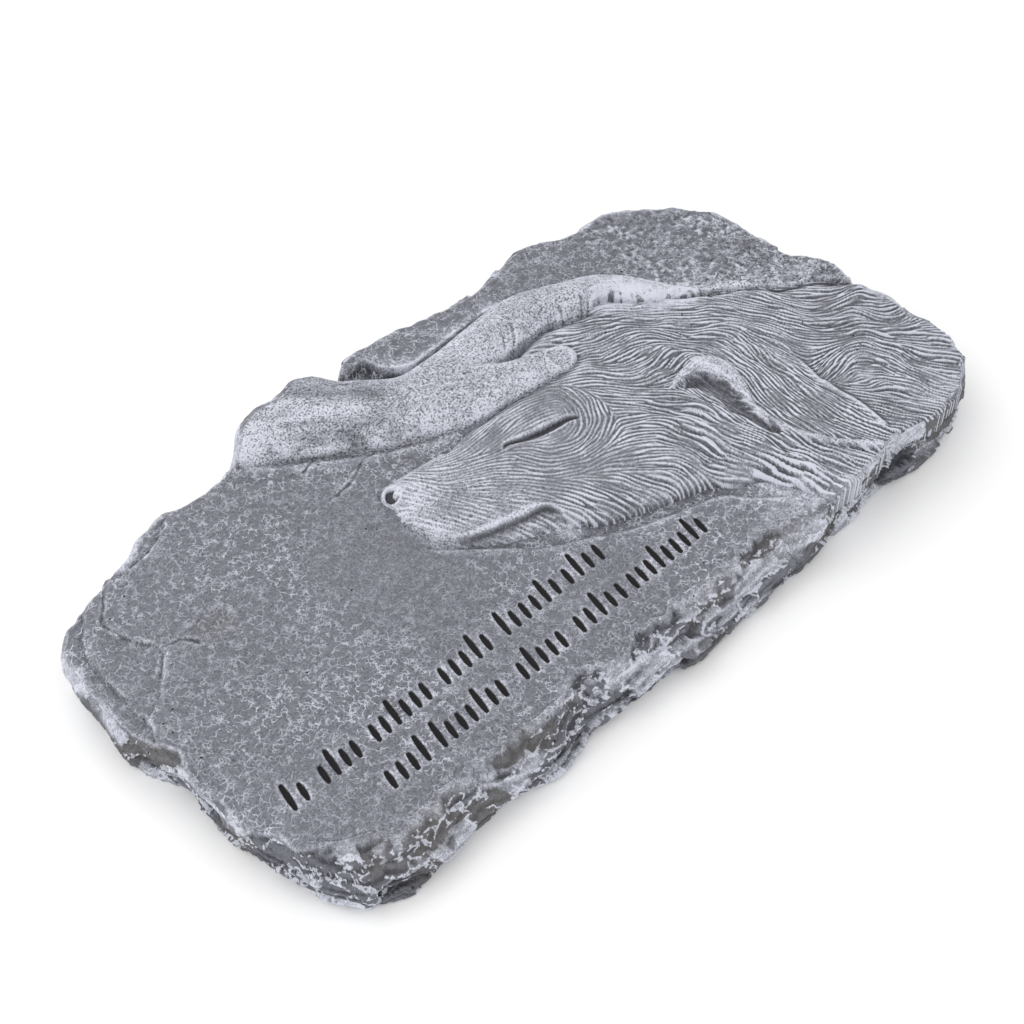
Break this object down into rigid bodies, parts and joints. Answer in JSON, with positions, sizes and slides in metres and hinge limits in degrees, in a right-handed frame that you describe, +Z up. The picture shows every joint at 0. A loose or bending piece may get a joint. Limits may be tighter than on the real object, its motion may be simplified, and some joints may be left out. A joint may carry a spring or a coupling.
{
  "type": "pet memorial stone",
  "caption": "Low slab of cast stone carved in relief: a hand rests on a sleeping dog's head, beside rows of shallow strokes.",
  "frame": {"origin": "middle of the stone's box, on the surface that its flat underside rests on", "axes": "+X along the length, from the flat end to the end with the neck fur; +Y towards the edge where the arm enters; +Z up out of the carved face"},
  "size_m": [0.2621, 0.143, 0.0247],
  "materials": {
    "carved_stone": "rough, dry-brushed"
  },
  "bodies": {
    "root": {"memorial_stone": "carved_stone"}
  },
  "joints": []
}
